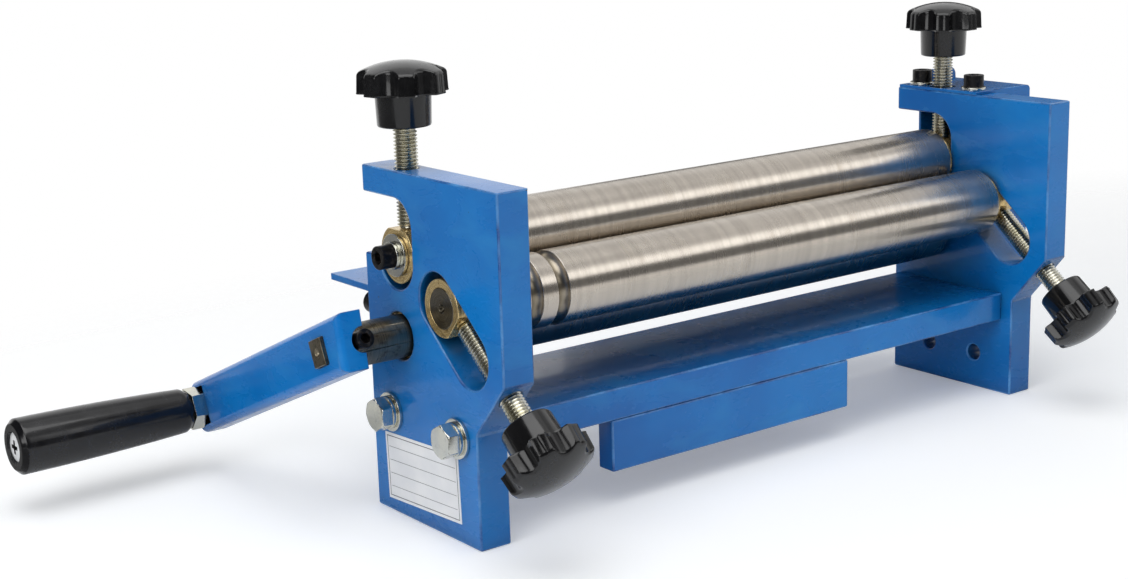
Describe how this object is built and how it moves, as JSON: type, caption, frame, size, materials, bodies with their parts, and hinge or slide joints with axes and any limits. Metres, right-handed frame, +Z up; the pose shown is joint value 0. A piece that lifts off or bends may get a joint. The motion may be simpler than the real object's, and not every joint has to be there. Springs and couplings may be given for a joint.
{
  "type": "slip roll machine",
  "caption": "Bench slip roll: geared upper and lower rollers and a front bending roller between side plates, with star knobs, a folded crank and a block for a vise.",
  "frame": {"origin": "on the bench, at the level of the side plates' feet, midway between the side plates and straight below the axis of the lower roller", "axes": "+X along the rollers from the crank to the gears, +Y to the rear, +Z up"},
  "size_m": [0.4928, 0.2356, 0.1943],
  "materials": {
    "blue_paint": "satin blue enamel",
    "ground_steel": "ground, oiled",
    "bare_steel": "turned, oiled",
    "black_plastic": "glossy moulded",
    "black_handle": "polished",
    "bronze": "turned",
    "yellow_zinc": "yellow zinc plated",
    "black_oxide": "blackened steel",
    "zinc_plate": "zinc plated",
    "bright_chrome": "bright"
  },
  "bodies": {
    "frame": {"left_side_plate": "blue_paint", "right_side_plate": "blue_paint", "crossbar": "blue_paint", "vise_block": "blue_paint", "left_crossbar_bolts": "zinc_plate", "right_crossbar_bolts": "zinc_plate", "left_crossbar_washers": "zinc_plate", "right_crossbar_washers": "zinc_plate", "feed_shelf": "blue_paint", "feed_shelf_screws": "black_oxide", "gear_cover": "blue_paint", "gear_cover_screws": "black_oxide", "gear_cover_washers": "zinc_plate", "left_bearing_ring": "bronze", "right_bearing_ring": "bronze"},
    "crank_drive": {"lower_roller": "ground_steel", "lower_gear": "bare_steel", "lower_gear_screw": "black_oxide", "lower_gear_washers": "zinc_plate", "crank_hub": "bare_steel", "hub_clamp_screw": "black_oxide", "crank_arm": "blue_paint", "handle_pin": "zinc_plate", "handle_nuts": "zinc_plate", "handle_end_screw": "bright_chrome"},
    "handle": {"handle_grip": "black_handle"},
    "upper_bushes": {"left_upper_bush": "bronze", "right_upper_bush": "bronze"},
    "upper_drive": {"upper_roller": "ground_steel", "upper_gear": "bare_steel", "upper_end_screws": "black_oxide", "upper_end_washers": "zinc_plate"},
    "left_pressure_adjuster": {"left_pressure_screw": "yellow_zinc", "left_pressure_knob": "black_plastic"},
    "right_pressure_adjuster": {"right_pressure_screw": "yellow_zinc", "right_pressure_knob": "black_plastic"},
    "bending_bushes": {"left_bending_bush": "bronze", "right_bending_bush": "bronze"},
    "bending_roll": {"bending_roller": "ground_steel"},
    "left_bending_adjuster": {"left_bending_screw": "yellow_zinc", "left_bending_knob": "black_plastic"},
    "right_bending_adjuster": {"right_bending_screw": "yellow_zinc", "right_bending_knob": "black_plastic"}
  },
  "joints": [
    {"name": "crank_turn", "type": "hinge", "parent": "frame", "child": "crank_drive", "pos_m": [0, 0, 0.08], "axis": [1, 0, 0], "continuous": true},
    {"name": "handle_spin", "type": "hinge", "parent": "crank_drive", "child": "handle", "pos_m": [-0.25, 0.11598, 0.03077], "axis": [1, 0, 0], "continuous": true},
    {"name": "upper_lift", "type": "slide", "parent": "frame", "child": "upper_bushes", "axis": [0, 0, 1], "range_m": [-0.0019, 0.0025]},
    {"name": "upper_spin", "type": "hinge", "parent": "upper_bushes", "child": "upper_drive", "pos_m": [0, 0, 0.1145], "axis": [1, 0, 0], "continuous": true},
    {"name": "left_pressure_turn", "type": "hinge", "parent": "upper_bushes", "child": "left_pressure_adjuster", "pos_m": [-0.1625, 0, 0.1145], "axis": [0, 0, 1], "range_deg": [-457, 601]},
    {"name": "right_pressure_turn", "type": "hinge", "parent": "upper_bushes", "child": "right_pressure_adjuster", "pos_m": [0.1625, 0, 0.1145], "axis": [0, 0, 1], "range_deg": [-457, 601]},
    {"name": "bending_slide", "type": "slide", "parent": "frame", "child": "bending_bushes", "axis": [0, -0.7615, -0.6481], "range_m": [-0.0026, 0.0262]},
    {"name": "bending_spin", "type": "hinge", "parent": "bending_bushes", "child": "bending_roll", "pos_m": [0, -0.0316, 0.09725], "axis": [1, 0, 0], "continuous": true},
    {"name": "left_bending_turn", "type": "hinge", "parent": "bending_bushes", "child": "left_bending_adjuster", "pos_m": [-0.1625, -0.0316, 0.09725], "axis": [0, -0.7615, -0.6481], "range_deg": [-625, 6289]},
    {"name": "right_bending_turn", "type": "hinge", "parent": "bending_bushes", "child": "right_bending_adjuster", "pos_m": [0.1625, -0.0316, 0.09725], "axis": [0, -0.7615, -0.6481], "range_deg": [-625, 6289]}
  ],
  "couplings": [
    {"joint": "upper_spin", "follows": "crank_turn", "ratio": -1},
    {"joint": "left_pressure_turn", "follows": "upper_lift", "rad_per_m": 4188.8},
    {"joint": "right_pressure_turn", "follows": "upper_lift", "rad_per_m": 4188.8},
    {"joint": "left_bending_turn", "follows": "bending_slide", "rad_per_m": 4188.8},
    {"joint": "right_bending_turn", "follows": "bending_slide", "rad_per_m": 4188.8}
  ]
}
